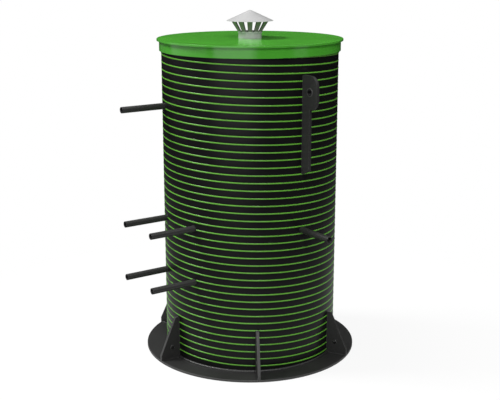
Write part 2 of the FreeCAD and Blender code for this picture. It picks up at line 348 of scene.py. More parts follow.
WIND_PITCH = 0.050
WIND_STARTS = 2
BEAD_WIDTH = 0.0085
BEAD_RISE = 0.0018
BAND_CROWN = 0.0005
BEAD_LEVEL = 2.0205
WALL_THICKNESS = 0.030
WIND_COLUMNS = 144
BEAD_STEPS = 7
BAND_STEPS = 4
MERGE_DISTANCE = 0.00002
WALL_SHARP_ANGLE = math.radians(50)
SKIN_DEPTH = 1.4  # a face this many bead rises under the wall's radius is not the outer skin

wall_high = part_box("wall_segment_1")[1]
wall_radius = wall_high.x
wall_bottom = plate_top
wall_top = wall_high.z


# An empty Geometry Nodes tree with its named inputs, and its two end nodes
def shape_group(name, inputs):
    tree = bpy.data.node_groups.new(name, "GeometryNodeTree")
    tree.interface.new_socket("Geometry", in_out="INPUT", socket_type="NodeSocketGeometry")
    for label, kind in inputs:
        tree.interface.new_socket(label, in_out="INPUT", socket_type=kind)
    tree.interface.new_socket("Geometry", in_out="OUTPUT", socket_type="NodeSocketGeometry")
    return tree, tree.nodes.new("NodeGroupInput"), tree.nodes.new("NodeGroupOutput")


# The piece run through a tree, whose inputs are set by their sockets' identifiers
def shaped(piece, tree, **values):
    modifier = piece.modifiers.new(tree.name, "NODES")
    modifier.node_group = tree
    sockets = {item.name: item.identifier for item in tree.interface.items_tree
               if item.in_out == "INPUT"}
    for name, value in values.items():
        modifier[sockets[name.replace("_", " ")]] = value
    return made_plain(piece)


# How far a point on the wall lies across the winding from the middle of its bead
def across_winding(tree, given, turn, height):
    lead = maths(tree, "MULTIPLY", given["Pitch"], given["Starts"])
    fall = maths(tree, "MULTIPLY", maths(tree, "DIVIDE", turn, math.tau), lead)
    level = maths(tree, "SUBTRACT", given["Bead Level"], fall)
    off = maths(tree, "SUBTRACT", height, level)
    half = maths(tree, "MULTIPLY", given["Pitch"], 0.5)
    lifted = maths(tree, "FLOORED_MODULO", maths(tree, "ADD", off, half), given["Pitch"])
    return maths(tree, "ABSOLUTE", maths(tree, "SUBTRACT", lifted, half))


# The wall's outer radius there: a half-oval bead, or the band's slight crown
def winding_radius(tree, given, off):
    half_bead = maths(tree, "MULTIPLY", given["Bead Width"], 0.5)
    share = maths(tree, "MINIMUM", maths(tree, "DIVIDE", off, half_bead), 1.0)
    squared = maths(tree, "MULTIPLY", share, share)
    oval = maths(tree, "SQRT", maths(tree, "SUBTRACT", 1.0, squared))
    bead = maths(tree, "MULTIPLY", oval, given["Bead Rise"])
    half_pitch = maths(tree, "MULTIPLY", given["Pitch"], 0.5)
    beyond = maths(tree, "MAXIMUM", maths(tree, "SUBTRACT", off, half_bead), 0.0)
    band = maths(tree, "DIVIDE", beyond, maths(tree, "SUBTRACT", half_pitch, half_bead))
    swell = maths(tree, "SINE", maths(tree, "MULTIPLY", band, math.pi / 2))
    crown = maths(tree, "MULTIPLY", swell, given["Band Crown"])
    root = maths(tree, "SUBTRACT", given["Radius"], given["Bead Rise"])
    return maths(tree, "ADD", root, maths(tree, "ADD", bead, crown))


def on_axis(tree, radius, turn, height):
    feeds = {
        "X": maths(tree, "MULTIPLY", radius, maths(tree, "COSINE", turn)),
        "Y": maths(tree, "MULTIPLY", radius, maths(tree, "SINE", turn)),
        "Z": height,
    }
    return add_node(tree, "ShaderNodeCombineXYZ", feeds).outputs[0]


def make_wound_wall_tree():
    labels = [(n, "NodeSocketFloat") for n in (
        "Radius", "Thickness", "Bottom", "Top", "Pitch", "Bead Width", "Bead Rise", "Band Crown",
        "Bead Level")]
    labels += [(n, "NodeSocketInt") for n in (
        "Starts", "Columns", "Windings", "Bead Steps", "Band Steps")]
    labels += [("Band Material", "NodeSocketMaterial"), ("Bead Material", "NodeSocketMaterial")]
    tree, group_in, group_out = shape_group("wound wall", labels)
    given = group_in.outputs
    steps = maths(tree, "ADD", given["Bead Steps"], given["Band Steps"])
    rows = maths(tree, "ADD", maths(tree, "MULTIPLY", given["Windings"], steps), 1.0)
    lines = maths(tree, "ADD", given["Columns"], 1.0)
    grid = add_node(tree, "GeometryNodeMeshGrid", {"Vertices X": rows, "Vertices Y": lines})
    # each point's column gives its turn, and its row its place across the winding
    index = add_node(tree, "GeometryNodeInputIndex").outputs[0]
    row = maths(tree, "FLOOR", maths(tree, "DIVIDE", index, lines))
    column = maths(tree, "SUBTRACT", index, maths(tree, "MULTIPLY", row, lines))
    turn = maths(tree, "MULTIPLY", maths(tree, "DIVIDE", column, given["Columns"]), math.tau)
    winding = maths(tree, "FLOOR", maths(tree, "DIVIDE", row, steps))
    step = maths(tree, "SUBTRACT", row, maths(tree, "MULTIPLY", winding, steps))
    in_bead = maths(tree, "MINIMUM", maths(tree, "DIVIDE", step, given["Bead Steps"]), 1.0)
    swing = maths(tree, "COSINE", maths(tree, "MULTIPLY", in_bead, math.pi))
    half_bead = maths(tree, "MULTIPLY", given["Bead Width"], 0.5)
    over_bead = maths(tree, "MULTIPLY", swing, maths(tree, "MULTIPLY", half_bead, -1.0))
    after = maths(tree, "MAXIMUM", maths(tree, "SUBTRACT", step, given["Bead Steps"]), 0.0)
    band = maths(tree, "SUBTRACT", given["Pitch"], given["Bead Width"])
    over_band = maths(tree, "MULTIPLY", maths(tree, "DIVIDE", after, given["Band Steps"]), band)
    across = maths(tree, "ADD", over_bead, over_band)
    lead = maths(tree, "MULTIPLY", given["Pitch"], given["Starts"])
    fall = maths(tree, "MULTIPLY", maths(tree, "DIVIDE", turn, math.tau), lead)
    climbed = maths(tree, "MULTIPLY", winding, given["Pitch"])
    reach = maths(tree, "SUBTRACT", given["Bead Level"], given["Bottom"])
    turns_below = maths(tree, "CEIL", maths(tree, "DIVIDE", reach, given["Pitch"]))
    below = maths(tree, "MULTIPLY", turns_below, given["Pitch"])
    first = maths(tree, "SUBTRACT", given["Bead Level"], below)
    height = maths(tree, "SUBTRACT", maths(tree, "ADD", first, climbed), fall)
    height = maths(tree, "MAXIMUM", maths(tree, "ADD", height, across), given["Bottom"])
    height = maths(tree, "MINIMUM", height, given["Top"])
    radius = winding_radius(tree, given, across_winding(tree, given, turn, height))
    feeds = {"Geometry": grid.outputs["Mesh"], "Position": on_axis(tree, radius, turn, height)}
    laid = add_node(tree, "GeometryNodeSetPosition", feeds)
    feeds = {"Geometry": laid.outputs[0], "Distance": MERGE_DISTANCE}
    joined = add_node(tree, "GeometryNodeMergeByDistance", feeds)
    # the square ends and the smooth inside follow from the outer skin's upper edge
    place = add_node(tree, "GeometryNodeInputPosition").outputs[0]
    parts = add_node(tree, "ShaderNodeSeparateXYZ", {0: place})
    here = maths(tree, "ARCTAN2", parts.outputs["Y"], parts.outputs["X"])
    free = add_node(tree, "GeometryNodeInputMeshEdgeNeighbors").outputs[0]
    alone = maths(tree, "COMPARE", free, 1.0, 0.1)
    middle = maths(tree, "MULTIPLY", maths(tree, "ADD", given["Top"], given["Bottom"]), 0.5)
    upper = maths(tree, "GREATER_THAN", parts.outputs["Z"], middle)
    chosen = maths(tree, "MULTIPLY", alone, upper)
    inner = maths(tree, "SUBTRACT", given["Radius"], given["Thickness"])
    outer = winding_radius(tree, given, across_winding(tree, given, here, given["Bottom"]))
    skin = joined.outputs[0]
    for far_radius, far_height in ((inner, given["Top"]), (inner, given["Bottom"]),
                                   (outer, given["Bottom"])):
        drawn = add_node(tree, "GeometryNodeExtrudeMesh",
                         {"Mesh": skin, "Selection": chosen, "Offset Scale": 0.0}, mode="EDGES")
        moved = add_node(tree, "GeometryNodeSetPosition",
                         {"Geometry": drawn.outputs["Mesh"], "Selection": drawn.outputs["Top"],
                          "Position": on_axis(tree, far_radius, here, far_height)})
        skin = moved.outputs[0]
        chosen = drawn.outputs["Top"]
    feeds = {"Geometry": skin, "Distance": MERGE_DISTANCE}
    closed = add_node(tree, "GeometryNodeMergeByDistance", feeds)
    # the grid's faces look inward until they are turned over here
    outward = add_node(tree, "GeometryNodeFlipFaces", {"Mesh": closed.outputs[0]})
    whole = add_node(tree, "GeometryNodeRealizeInstances", {"Geometry": outward.outputs[0]})
    black = add_node(tree, "GeometryNodeSetMaterial",
                     {"Geometry": whole.outputs[0], "Material": given["Band Material"]})
    off = across_winding(tree, given, here, parts.outputs["Z"])
    near = maths(tree, "LESS_THAN", off, half_bead)
    beside = add_node(tree, "ShaderNodeCombineXYZ",
                      {"X": parts.outputs["X"], "Y": parts.outputs["Y"]}).outputs[0]
    flat = add_node(tree, "ShaderNodeVectorMath", {0: beside}, operation="LENGTH")
    root = maths(tree, "MULTIPLY", given["Bead Rise"], SKIN_DEPTH)
    root = maths(tree, "SUBTRACT", given["Radius"], root)
    outside = maths(tree, "GREATER_THAN", flat.outputs["Value"], root)
    green = add_node(tree, "GeometryNodeSetMaterial",
                     {"Geometry": black.outputs[0], "Material": given["Bead Material"],
                      "Selection": maths(tree, "MULTIPLY", near, outside)})
    tree.links.new(green.outputs[0], group_out.inputs[0])
    return tree


band_black = plastic("black wound band", (0.0052, 0.0052, 0.005), (0.03, 0.03, 0.029),
                     gloss=0.36, scuff=0.3, edge=0.0, peel=0.00008, reflect=0.22)
bead_green = plastic("green bead", (0.118, 0.405, 0.031), (0.21, 0.48, 0.12),
                     gloss=0.30, scuff=0.15, edge=0.15, reach=0.002, patch=0.06, reflect=0.5)

wound_wall = shown("wound_wall", bpy.data.meshes.new("wound_wall"))
windings = math.ceil((wall_top - wall_bottom) / WIND_PITCH) + WIND_STARTS + 2
shaped(
    wound_wall, make_wound_wall_tree(),
    Radius=wall_radius, Thickness=WALL_THICKNESS, Bottom=wall_bottom, Top=wall_top,
    Pitch=WIND_PITCH, Bead_Width=BEAD_WIDTH, Bead_Rise=BEAD_RISE, Band_Crown=BAND_CROWN,
    Bead_Level=BEAD_LEVEL, Starts=WIND_STARTS, Columns=WIND_COLUMNS, Windings=windings,
    Bead_Steps=BEAD_STEPS, Band_Steps=BAND_STEPS,
    Band_Material=band_black, Bead_Material=bead_green,
)

# Each pipe stub pierces the wall, through a hole a little tighter than the pipe
PIPE_RADIUS = 0.0212
PIPE_SEGMENTS = 48
DRILL_SEGMENTS = 40
DRILL_FIT = 0.0004
DRILL_INSET = 0.002
STUBS = [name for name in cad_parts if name.startswith("pipe_stub")]


# A stub lies along X or Y and points away from the wall: the middles of its two ends
def stub_axis(name):
    low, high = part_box(name)
    middle = (low + high) / 2
    if high.x - low.x > high.y - low.y:
        return Vector((high.x, middle.y, middle.z)), Vector((low.x, middle.y, middle.z))
    return Vector((middle.x, high.y, middle.z)), Vector((middle.x, low.y, middle.z))


# A tube or rod turned from its outline in (radius, distance) along an axis
def turned_along(name, outline, start, end, segments):
    piece = turned(name, outline, segments)
    way = (end - start).normalized()
    turn = way.to_track_quat("Z", "Y").to_matrix().to_4x4()
    piece.data.transform(Matrix.Translation(start) @ turn)
    return piece


# The wall's manifold cut by the drills, which are then removed
def pierced(piece, holes):
    modifier = piece.modifiers.new("stub holes", "BOOLEAN")
    modifier.operation = "DIFFERENCE"
    modifier.solver = "MANIFOLD"
    modifier.object = holes
    made_plain(piece)
    bpy.data.objects.remove(holes)
    return piece


def joined_as(name, pieces):
    mesh = bpy.data.meshes.new(name)
    shape = bmesh.new()
    for piece in pieces:
        shape.from_mesh(piece.data)
        bpy.data.objects.remove(piece)
    shape.to_mesh(mesh)
    shape.free()
    return shown(name, mesh)


drills = []
for name in STUBS:
    start, end = stub_axis(name)
    depth = (end - start).length
    near, far = DRILL_INSET, depth - DRILL_INSET
    rod = [Vector((0, near)), Vector((PIPE_RADIUS - DRILL_FIT, near)),
           Vector((PIPE_RADIUS - DRILL_FIT, far)), Vector((0, far))]
    drills.append(turned_along(name + "_drill", rod, start, end, DRILL_SEGMENTS))
pierced(wound_wall, joined_as("stub_holes", drills))
# the holes' own faces carry no material yet: they take the bands' black
for face in wound_wall.data.polygons:
    face.material_index = max(face.material_index, 1)
wound_wall.data.materials.pop(index=0)
wound_wall.data.set_sharp_from_angle(angle=WALL_SHARP_ANGLE)
fitted(wound_wall, None, "caisson", "black_plastic", *["wall_segment_%d" % n for n in range(1, 9)])


# Gussets. Plates sawn from the same thick sheet, stood upright between wall and foot plate,
# each drilled with a small hole. Their sawn edges are eased and paler than the faces, partly as
# painted highlight; the last gusset's edges take a darker finish, as painted shade.

SHEET_EASE = 0.0015
EASED_ANGLE = math.radians(35)
FLAT_ANGLE = math.radians(0.6)
EDGE_LEAN = 0.4  # a plate's edge faces lean less than this toward its two sides


# A copy of a CAD node's shape with its edges eased
def eased_copy(node, name):
    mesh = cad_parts[node].data.copy()
    shape = bmesh.new()
    shape.from_mesh(mesh)
    bmesh.ops.remove_doubles(shape, verts=shape.verts, dist=1e-6)
    bmesh.ops.dissolve_limit(shape, angle_limit=FLAT_ANGLE, verts=shape.verts, edges=shape.edges)
    shape.to_mesh(mesh)
    shape.free()
    mesh.name = name
    piece = shown(name, mesh)
    edges = piece.modifiers.new("eased edges", "BEVEL")
    edges.width = SHEET_EASE
    edges.segments = 2
    edges.limit_method = "ANGLE"
    edges.angle_limit = EASED_ANGLE
    return flat_faces_kept(piece)


GUSSETS = sorted(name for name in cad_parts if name.startswith("gusset"))
# this darker edge finish is painted shade: the last gusset's edges, on the shaded side, and the
# lugs' edges take it
shaded_edge_sheet = plastic("edge of black sheet with painted shade", (0.026, 0.026, 0.0255), (0.06, 0.06, 0.058),
                       edge=0.2, **SAWN)
for number, node in enumerate(GUSSETS, start=1):
    plate = eased_copy(node, "gusset_plate_%d" % number)
    fitted(plate, black_sheet, "caisson", "black_plastic", node)
    across = max(plate.data.polygons, key=lambda face: face.area).normal.copy()
    finish = shaded_edge_sheet if number == len(GUSSETS) else sawn_sheet_with_highlight
    refinished(plate, lambda face: abs(face.normal.dot(across)) < EDGE_LEAN, finish)

# the bush lips' pale grey is painted highlight on the holes' rims
bush_grey_painted_highlight = plastic("bush lip with painted highlight", (0.082, 0.082, 0.081), (0.14, 0.14, 0.137),
                    gloss=0.42, scuff=0.5, edge=0.3, peel=0.0001, reach=0.002, reflect=0.5)
BUSH_FIT = 0.0003
BUSH_LIP = 0.0025
BUSH_SEGMENTS = 36
GUSSET_HOLE = (0.657, 0.097)  # from the chamber's axis, and above the foot plate's underside
GUSSET_HOLE_RADIUS = 0.010
gusset_low, gusset_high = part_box(GUSSETS[0])
sheet_half = (gusset_high.y - gusset_low.y) / 2


# A short bush lines each drilled hole, its rounded lips just proud of the plate's two faces.
# The bore, and as much of the lips as the given rim width says, takes the bands' black: painted
# shade inside the hole.
def bushes(name, holes, radius, width, painted_shade_rim):
    made = []
    half_length = sheet_half + BUSH_LIP
    for middle, way in holes:
        start, end = middle - way * half_length, middle + way * half_length
        outline = eased_outline([
            (radius - BUSH_FIT, 0.0, 0.0012),
            (radius + width, 0.0, 0.0018),
            (radius + width, 2 * half_length, 0.0018),
            (radius - BUSH_FIT, 2 * half_length, 0.0012),
        ], steps=3)
        made.append(turned_along(name, outline, start, end, BUSH_SEGMENTS))
    lined = flat_faces_kept(joined_as(name, made))
    fitted(lined, bush_grey_painted_highlight, "caisson", "black_plastic")

    def in_shaded_bore(face):
        for middle, way in holes:
            off = face.center - middle
            if (off - off.dot(way) * way).length < radius + painted_shade_rim:
                return True
        return False

    refinished(lined, in_shaded_bore, band_black)


gusset_holes = []
for index in range(len(GUSSETS)):
    turn = Matrix.Rotation(math.tau * index / len(GUSSETS), 3, "Z")
    middle = turn @ Vector((GUSSET_HOLE[0], 0, GUSSET_HOLE[1]))
    gusset_holes.append((middle, turn @ Vector((0, 1, 0))))
bushes("gusset_bushes", gusset_holes, GUSSET_HOLE_RADIUS, width=0.0055, painted_shade_rim=0.0025)


# Welds. Beads of black polyethylene laid by hand extruder: round the wall's foot, along the
# gussets, the lugs and the sleeve, and round each stub. They are convex, rippled and uneven.

WELD_STEP = 0.0035
WELD_SIDES = 10
WELD_SWELL = 14.0  # how many times in a metre the bead's thickness wanders
SWELL_LEVEL = 0.6  # the bead is thicker where the noise is over this, and thinner under it
SWELL_DEPTH = 0.35
RIPPLE_LENGTH = 0.011
RIPPLE_DEPTH = 0.05
FOOT_WELD_SIZE = 0.0115
FOOT_RUN_STEPS = 60
SLEEVE_WELD_SIZE = 0.005
SLEEVE_RUN_STEPS = 48
GUSSET_WELD_SIZE = 0.0032
# How far the gussets' welds stop short of the plate's rim, the wall, the plate and the top,
# and how deep the upright ones lie in the wall
WELD_RIM_GAP = 0.006
WELD_WALL_GAP = 0.004
WELD_FOOT_GAP = 0.008
WELD_TOP_GAP = 0.003
WELD_SINK = 0.001


# A round bead swept along the piece's edges, its thickness rippled and uneven
def make_weld_tree():
    tree, group_in, group_out = shape_group("laid weld", [
        ("Size", "NodeSocketFloat"), ("Step", "NodeSocketFloat"), ("Ripple", "NodeSocketFloat"),
        ("Unevenness", "NodeSocketFloat"), ("Seed", "NodeSocketFloat"),
        ("Material", "NodeSocketMaterial")])
    given = group_in.outputs
    run = add_node(tree, "GeometryNodeMeshToCurve", {"Mesh": given["Geometry"]})
    even = add_node(tree, "GeometryNodeResampleCurve",
                    {"Curve": run.outputs[0], "Length": given["Step"]}, mode="LENGTH")
    along = add_node(tree, "GeometryNodeSplineParameter").outputs["Length"]
    wave = maths(tree, "SINE", maths(tree, "MULTIPLY", along, math.tau / RIPPLE_LENGTH))
    feeds = {"W": maths(tree, "ADD", maths(tree, "MULTIPLY", along, WELD_SWELL), given["Seed"])}
    noise = add_node(tree, "ShaderNodeTexNoise", feeds, noise_dimensions="1D").outputs["Fac"]
    over = maths(tree, "SUBTRACT", noise, SWELL_LEVEL)
    swell = maths(tree, "MULTIPLY", over, given["Unevenness"])
    swell = maths(tree, "ADD", swell, maths(tree, "MULTIPLY", wave, given["Ripple"]))
    size = maths(tree, "MULTIPLY", given["Size"], maths(tree, "ADD", 1.0, swell))
    feeds = {"Resolution": WELD_SIDES, "Radius": 1.0}
    ring = add_node(tree, "GeometryNodeCurvePrimitiveCircle", feeds)
    bead = add_node(tree, "GeometryNodeCurveToMesh",
                    {"Curve": even.outputs[0], "Profile Curve": ring.outputs[0], "Scale": size,
                     "Fill Caps": True})
    whole = add_node(tree, "GeometryNodeRealizeInstances", {"Geometry": bead.outputs[0]})
    done = add_node(tree, "GeometryNodeSetMaterial",
                    {"Geometry": whole.outputs[0], "Material": given["Material"]})
    tree.links.new(done.outputs[0], group_out.inputs[0])
    return tree


weld_tree = make_weld_tree()
weld_black = plastic("black weld bead", (0.02, 0.02, 0.0195), (0.08, 0.08, 0.078),
                     gloss=0.38, peel=0.0002, scuff=0.4, edge=0.0, peel_size=140.0, reflect=0.5)


# The runs are open lines of points, or closed where the last point meets the first
def welds(name, runs, size, seed, material=weld_black, body="caisson", slot="black_plastic",
          stands_for=()):
    mesh = bpy.data.meshes.new(name)
    points = []
    edges = []
    for run, closed in runs:
        first = len(points)
        points.extend(run)
        edges.extend((first + n, first + n + 1) for n in range(len(run) - 1))
        if closed:
            edges.append((len(points) - 1, first))
    mesh.from_pydata([tuple(p) for p in points], edges, [])
    piece = shown(name, mesh)
    shaped(piece, weld_tree, Size=size, Step=WELD_STEP, Ripple=RIPPLE_DEPTH,
           Unevenness=SWELL_DEPTH, Seed=seed, Material=material)
    smoothed(piece.data)
    return fitted(piece, material, body, slot, *stands_for)


# Points on a level arc round the chamber's axis
def arc(radius, height, first, last, count):
    turns = [first + (last - first) * n / count for n in range(count + 1)]
    return [Vector((radius * math.cos(t), radius * math.sin(t), height)) for t in turns]


gap = sheet_half / wall_radius
foot_runs = []
gusset_runs = []
for index in range(len(GUSSETS)):
    start = math.tau * index / len(GUSSETS)
    end = math.tau * (index + 1) / len(GUSSETS)
    foot_run = arc(wall_radius, plate_top, start + gap, end - gap, FOOT_RUN_STEPS)
    foot_runs.append((foot_run, False))
    for side in (-1, 1):
        turn = Matrix.Rotation(start, 3, "Z")
        low = Vector((plate_radius - WELD_RIM_GAP, side * sheet_half, plate_top))
        foot = Vector((wall_radius + WELD_WALL_GAP, side * sheet_half, plate_top))
        up = Vector((wall_radius - WELD_SINK, side * sheet_half, plate_top + WELD_FOOT_GAP))
        top = Vector((wall_radius - WELD_SINK, side * sheet_half, gusset_high.z - WELD_TOP_GAP))
        gusset_runs.append(([turn @ low, turn @ foot], False))
        gusset_runs.append(([turn @ up, turn @ top], False))
welds("foot_weld_bead", foot_runs, FOOT_WELD_SIZE, seed=1.0, stands_for=["foot_weld"])
welds("gusset_welds", gusset_runs, GUSSET_WELD_SIZE, seed=7.0)
sleeve_run = arc(sleeve_radius, plate_top, 0, math.tau, SLEEVE_RUN_STEPS)[:-1]
welds("sleeve_weld", [(sleeve_run, True)], SLEEVE_WELD_SIZE, seed=3.0)


# Pipe stubs. Six short lengths of black 42 mm pressure pipe through the wall, left open. Each
# end is cut square and its burr taken off, and a thin weld runs round it on the wall.

PIPE_BORE = 0.0175
STUB_WELD_SIZE = 0.0025
STUB_WELD_GAP = 0.0005
stub_rings = []
for name in STUBS:
    start, end = stub_axis(name)
    length = (end - start).length
    outline = eased_outline([
        (PIPE_BORE, 0.0, 0.0006),
        (PIPE_RADIUS, 0.0, 0.0006),
        (PIPE_RADIUS, length, 0.0012),
        (PIPE_BORE, length, 0.001),
    ], steps=2)
    label = name.replace("pipe_stub", "open_pipe")
    pipe = flat_faces_kept(turned_along(label, outline, start, end, PIPE_SEGMENTS))
    fitted(pipe, black_pipe, "caisson", "black_plastic", name)
    # the weld's ring lies where the pipe's skin meets the wall between its beads
    ring = []
    way = (end - start).normalized()
    side = Vector((0, 1, 0)) if abs(way.x) > 0.5 else Vector((1, 0, 0))
    reach = PIPE_RADIUS + STUB_WELD_GAP
    for step in range(PIPE_SEGMENTS):
        angle = math.tau * step / PIPE_SEGMENTS
        point = start + side * (reach * math.cos(angle)) + Vector((0, 0, reach * math.sin(angle)))
        across = point.dot(side)
        out = math.sqrt((wall_radius - BEAD_RISE) ** 2 - across ** 2)
        ring.append(side * across + way * out + Vector((0, 0, point.z)))
    stub_rings.append((ring, True))
# the stub welds take the bands' deeper black: painted shade where each stub meets the wall
welds("stub_welds", stub_rings, STUB_WELD_SIZE, seed=11.0, material=band_black)


# Lifting lugs. Two plates of the thick sheet, welded upright on the wall below the lid: a long
# strip with a rounded ear at its top, drilled for a shackle. Their edges are eased. Their faces
# take a lighter black, painted light, and their edges a darker one, painted shade.

LUGS = sorted(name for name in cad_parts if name.startswith("lifting_lug"))
# the lugs' black is a lighter copy of the sheet's black: painted light on their lit faces
lug_black_painted_light = plastic("black lug sheet with painted light", (0.044, 0.044, 0.0435), (0.08, 0.08, 0.078),
                    gloss=0.42, scuff=0.35, edge=0.25, reflect=0.25)
LUG_HOLE = (0.672, 1.882)  # from the chamber's axis, and above the foot plate's underside
LUG_HOLE_RADIUS = 0.022
LUG_WELD_SIZE = 0.0024
LUG_WELD_GAP = 0.004
lug_runs = []
lug_holes = []
for number, node in enumerate(LUGS, start=1):
    plate = eased_copy(node, "lug_plate_%d" % number)
    fitted(plate, lug_black_painted_light, "caisson", "black_plastic", node)
    # the lugs' edges take the darker edge finish: painted shade
    refinished(plate, lambda face: abs(face.normal.x) < EDGE_LEAN, shaded_edge_sheet)
    low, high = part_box(node)
    out = math.copysign(1.0, low.y + high.y)
    face = out * (wall_radius - BEAD_RISE)
    for side in (low.x, high.x):
        lower = Vector((side, face, low.z + LUG_WELD_GAP))
        upper = Vector((side, face, high.z - LUG_WELD_GAP))
        lug_runs.append(([lower, upper], False))
    lug_holes.append((Vector((0, out * LUG_HOLE[0], LUG_HOLE[1])), Vector((1, 0, 0))))
welds("lug_welds", lug_runs, LUG_WELD_SIZE, seed=17.0)
bushes("lug_bushes", lug_holes, LUG_HOLE_RADIUS, width=0.0065, painted_shade_rim=0.0)


# Lid. A disc of green polyethylene sheet with a green band welded under it, which slips over
# the chamber. The disc's rim is rounded over, and the sheet is semi-gloss with faint scuffs.

SMOOTH_SHEET = {"scuff": 0.22, "peel": 0.00003, "patch": 0.05}
# the disc's green is lighter than the band's: painted light on the lid's top
lid_green_painted_light = plastic("green polyethylene sheet with painted light", (0.102, 0.51, 0.044), (0.24, 0.58, 0.17),
                    gloss=0.13, edge=0.1, reflect=0.65, **SMOOTH_SHEET)
band_green = plastic("green polyethylene band", (0.064, 0.348, 0.027), (0.22, 0.48, 0.17),
                     gloss=0.17, edge=0.25, reflect=0.5, **SMOOTH_SHEET)
NECK_WALL = 0.004
LID_EASE = 0.0015
SEAM_SIZE = 0.003
SEAM_STEPS = 180
lid_low, lid_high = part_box("lid_plate")
neck_low, neck_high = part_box("vent_neck")
lid_outline = eased_outline([
    (neck_high.x - NECK_WALL, lid_low.z, 0.0005),
    (lid_high.x, lid_low.z, 0.001),
    (lid_high.x, lid_high.z, LID_EASE),
    (neck_high.x - NECK_WALL, lid_high.z, 0.0005),
])
lid_disc = flat_faces_kept(turned("lid_disc", lid_outline, DISC_SEGMENTS))
fitted(lid_disc, lid_green_painted_light, "lid", "green_plastic", "lid_plate")
# the rim's faces take the band's darker green: painted shade on the rim
lid_rim = lid_high.x - LID_EASE + RIM_MARGIN
refinished(lid_disc, lambda face: face.center.xy.length > lid_rim, band_green)

SKIRT_WALL = 0.007
skirt_low, skirt_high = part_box("lid_skirt")
skirt_outline = eased_outline([
    (skirt_high.x - SKIRT_WALL, skirt_low.z, 0.0015),
    (skirt_high.x, skirt_low.z, 0.0025),
    (skirt_high.x, skirt_high.z, 0.0003),
    (skirt_high.x - SKIRT_WALL, skirt_high.z, 0.0003),
])
lid_band = flat_faces_kept(turned("lid_band", skirt_outline, DISC_SEGMENTS))
fitted(lid_band, band_green, "lid", "green_plastic", "lid_skirt")
seam = arc(skirt_high.x, skirt_high.z, 0, math.tau, SEAM_STEPS)[:-1]
welds("lid_seam", [(seam, True)], SEAM_SIZE, seed=23.0, material=lid_green_painted_light, body="lid",
      slot="green_plastic")


# Vent. Grey polypropylene: a short neck on the lid, twelve flat strips that flare from it, and
# a conical cap over them. Moulded, so its edges are soft and its skin has a fine grain.

MOULDED = {"scuff": 0.12, "peel": 0.00008, "patch": 0.04, "reach": 0.002, "peel_size": 420.0}
vent_grey = plastic("grey polypropylene", (0.41, 0.41, 0.41), (0.56, 0.56, 0.56),
                    gloss=0.42, edge=0.2, reflect=0.5, **MOULDED)
neck_outline = eased_outline([
    (neck_high.x - NECK_WALL, neck_low.z, 0.0004),
    (neck_high.x, neck_low.z, 0.0004),
    (neck_high.x, neck_high.z, 0.001),
    (neck_high.x - NECK_WALL, neck_high.z, 0.001),
], steps=3)
# the neck's grey is a lighter copy of the vent's grey with a touch less green: painted light that
# makes up for the cap's shade, tinted against the lid's green light
neck_grey_painted_light = plastic("grey polypropylene pipe with painted light", (0.46, 0.455, 0.46), (0.58, 0.58, 0.58),
                    gloss=0.42, edge=0.2, reflect=0.5, **MOULDED)
neck = flat_faces_kept(turned("vent_socket", neck_outline, TUBE_SEGMENTS))
fitted(neck, neck_grey_painted_light, "lid", "grey_plastic", "vent_neck")

SLAT_COUNT = 12
SLAT_TURN = math.radians(-4.7)
SLAT_FOOT_WIDTH = 0.028
SLAT_HEAD_WIDTH = 0.038
SLAT_THICKNESS = 0.004
SLAT_FLARE_SLOPE = 44.0 / 69.0
SLAT_EASE = 0.0009
LAP_MARGIN = 0.0005
slats_low, slats_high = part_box("vent_slats")


# The piece repeated evenly round the axis
def make_ring_tree():
    tree, group_in, group_out = shape_group("strips round the neck", [
        ("Count", "NodeSocketInt"), ("First Turn", "NodeSocketFloat"),
        ("Material", "NodeSocketMaterial")])
    given = group_in.outputs
    spots = add_node(tree, "GeometryNodePoints", {"Count": given["Count"]})
    index = add_node(tree, "GeometryNodeInputIndex").outputs[0]
    part = maths(tree, "DIVIDE", maths(tree, "MULTIPLY", index, math.tau), given["Count"])
    turn = add_node(tree, "ShaderNodeCombineXYZ",
                    {"Z": maths(tree, "ADD", part, given["First Turn"])})
    around = add_node(tree, "GeometryNodeInstanceOnPoints",
                      {"Points": spots.outputs[0], "Instance": given["Geometry"],
                       "Rotation": turn.outputs[0]})
    whole = add_node(tree, "GeometryNodeRealizeInstances", {"Geometry": around.outputs[0]})
    done = add_node(tree, "GeometryNodeSetMaterial",
                    {"Geometry": whole.outputs[0], "Material": given["Material"]})
    tree.links.new(done.outputs[0], group_out.inputs[0])
    return tree


# One strip: its lap stands on the neck and its flare leans out to the cap
def one_strip():
    rise = slats_high.z - neck_high.z
    reach = neck_high.x + SLAT_FLARE_SLOPE * rise
    stations = [(neck_high.x, slats_low.z, SLAT_FOOT_WIDTH),
                (neck_high.x, neck_high.z, SLAT_FOOT_WIDTH),
                (reach, slats_high.z, SLAT_HEAD_WIDTH)]
    shape = bmesh.new()
    loops = []
    for radius, height, width in stations:
        outer = radius + SLAT_THICKNESS
        corners = [(radius, -1), (outer, -1), (outer, 1), (radius, 1)]
        loops.append([shape.verts.new((r, s * width / 2, height)) for r, s in corners])
    for lower, upper in zip(loops, loops[1:]):
        for n in range(4):
            m = (n + 1) % 4
            shape.faces.new((lower[n], lower[m], upper[m], upper[n]))
    shape.faces.new(loops[0])
    shape.faces.new(loops[-1])
    bmesh.ops.recalc_face_normals(shape, faces=shape.faces)
    mesh = bpy.data.meshes.new("vent_strips")
    shape.to_mesh(mesh)
    shape.free()
    strip = shown("vent_strips", mesh)
    ease = strip.modifiers.new("moulded edges", "BEVEL")
    ease.width = SLAT_EASE
    ease.segments = 2
    ease.limit_method = "ANGLE"
    ease.harden_normals = True
    return made_plain(strip)


